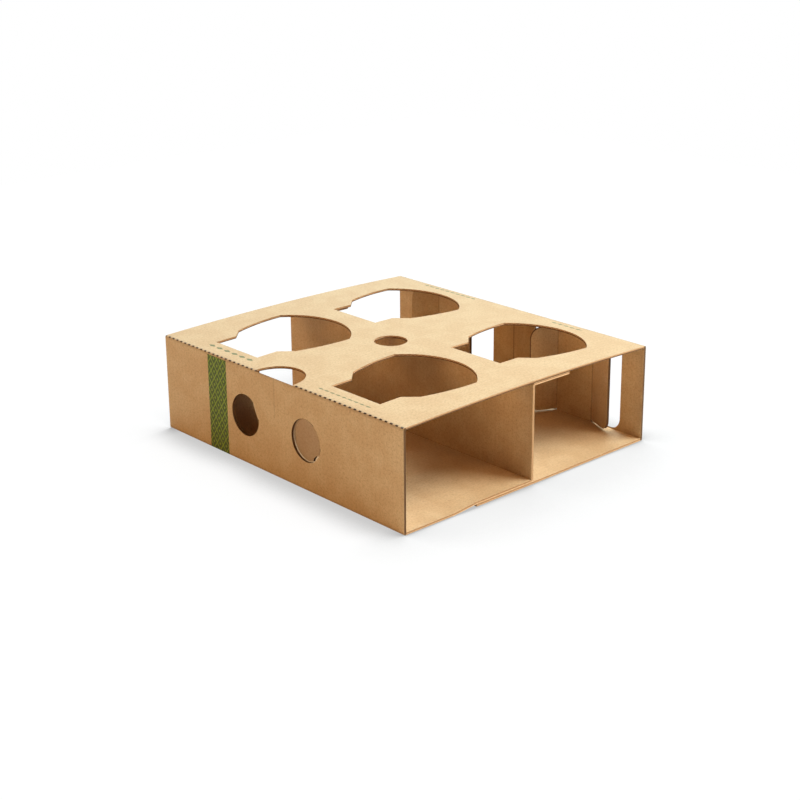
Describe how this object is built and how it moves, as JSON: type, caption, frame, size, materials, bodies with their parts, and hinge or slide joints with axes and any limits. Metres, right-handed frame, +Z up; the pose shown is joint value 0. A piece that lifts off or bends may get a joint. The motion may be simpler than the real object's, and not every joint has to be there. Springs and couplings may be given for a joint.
{
  "type": "cup carrier",
  "caption": "Cup carrier folded and glued from one sheet of corrugated board: a low open-ended box with shaped cup cutouts and hanging flaps, a divider, a thumb notch, finger discs and window flaps.",
  "frame": {"origin": "middle of the underside, on the surface that the carrier stands on", "axes": "X runs along the fold lines from open end to open end, Y from the front wall with the finger discs to the back wall with the window flaps, Z up to the top panel with the cup cutouts"},
  "size_m": [0.22, 0.2, 0.0635],
  "materials": {
    "kraft_board": "matt, uncoated brown kraft liner with open flutes at the cut edges"
  },
  "bodies": {
    "root": {"folded_board": "kraft_board"}
  },
  "joints": []
}
